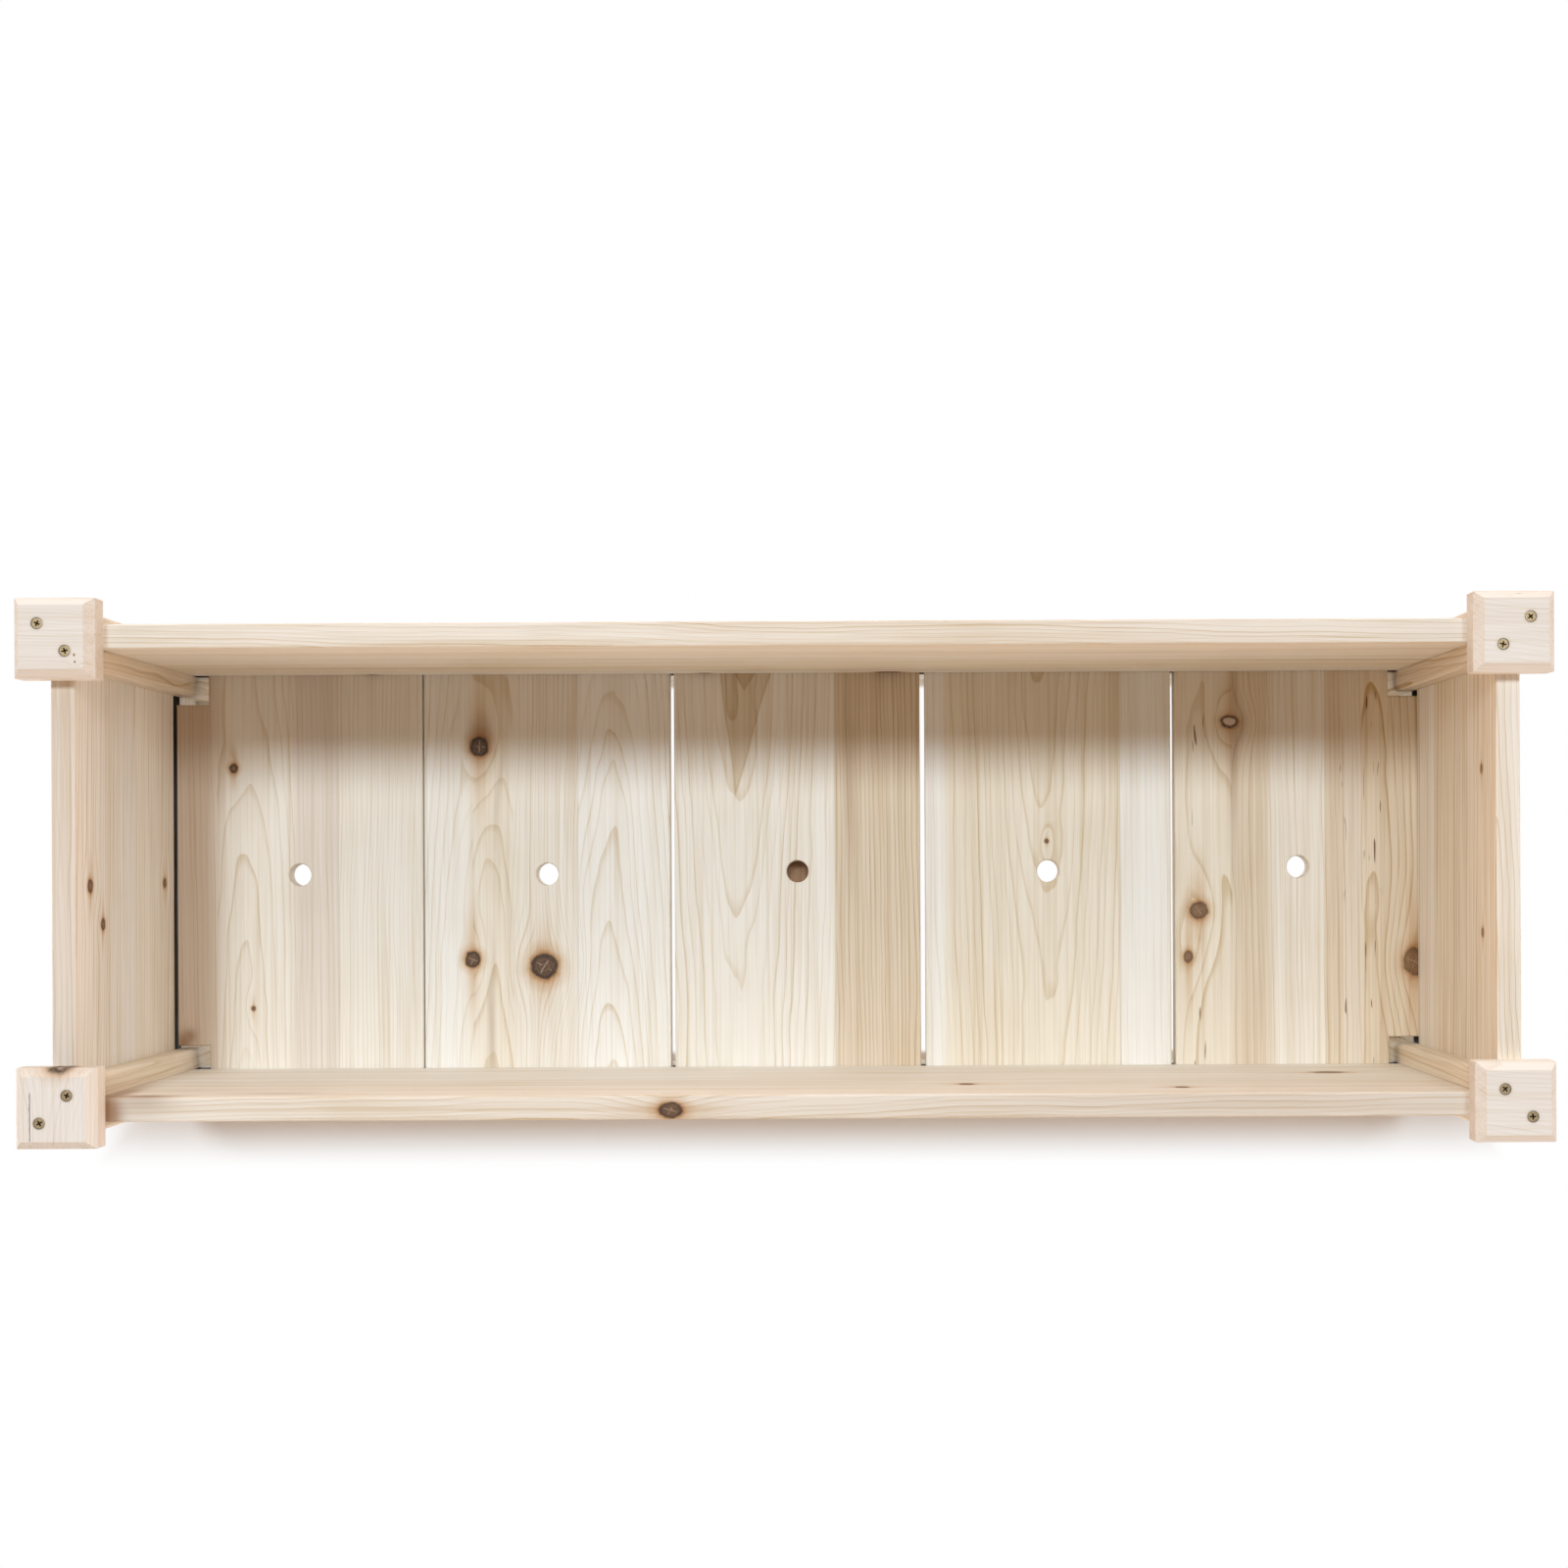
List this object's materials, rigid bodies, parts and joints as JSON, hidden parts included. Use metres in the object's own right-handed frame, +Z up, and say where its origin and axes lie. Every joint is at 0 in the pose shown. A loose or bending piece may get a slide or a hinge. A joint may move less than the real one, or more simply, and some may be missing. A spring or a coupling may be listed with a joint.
{
  "type": "raised garden bed",
  "caption": "Low open rectangular planter bed of pale fir: grooved posts with bevelled caps hold panel walls round a floor of drilled boards, raised on feet.",
  "frame": {"origin": "on the ground, under the middle of the bed", "axes": "+X along the bed's length, +Y across it to the back, +Z up"},
  "size_m": [1.12, 0.401, 0.276],
  "materials": {
    "fir_posts": "planed, unfinished fir",
    "fir_caps": "planed, unfinished fir with a pinkish tint",
    "fir_walls": "planed, unfinished edge-glued fir",
    "fir_floor": "planed, unfinished edge-glued fir with knots",
    "fir_beam": "planed, unfinished fir",
    "yellow_zinc": "yellow-passivated zinc, dull"
  },
  "bodies": {
    "root": {"post_front_left": "fir_posts", "post_front_right": "fir_posts", "post_back_left": "fir_posts", "post_back_right": "fir_posts", "cap_front_left": "fir_caps", "cap_front_right": "fir_caps", "cap_back_left": "fir_caps", "cap_back_right": "fir_caps", "foot_front_left": "fir_caps", "foot_front_right": "fir_caps", "foot_back_left": "fir_caps", "foot_back_right": "fir_caps", "back_wall": "fir_walls", "front_wall": "fir_walls", "left_end_wall": "fir_walls", "right_end_wall": "fir_walls", "floor_board_1": "fir_floor", "floor_board_2": "fir_floor", "floor_board_3": "fir_floor", "floor_board_4": "fir_floor", "floor_board_5": "fir_floor", "crossbeam": "fir_beam", "cap_screws": "yellow_zinc", "foot_screws": "yellow_zinc", "crossbeam_screws": "yellow_zinc"}
  },
  "joints": []
}
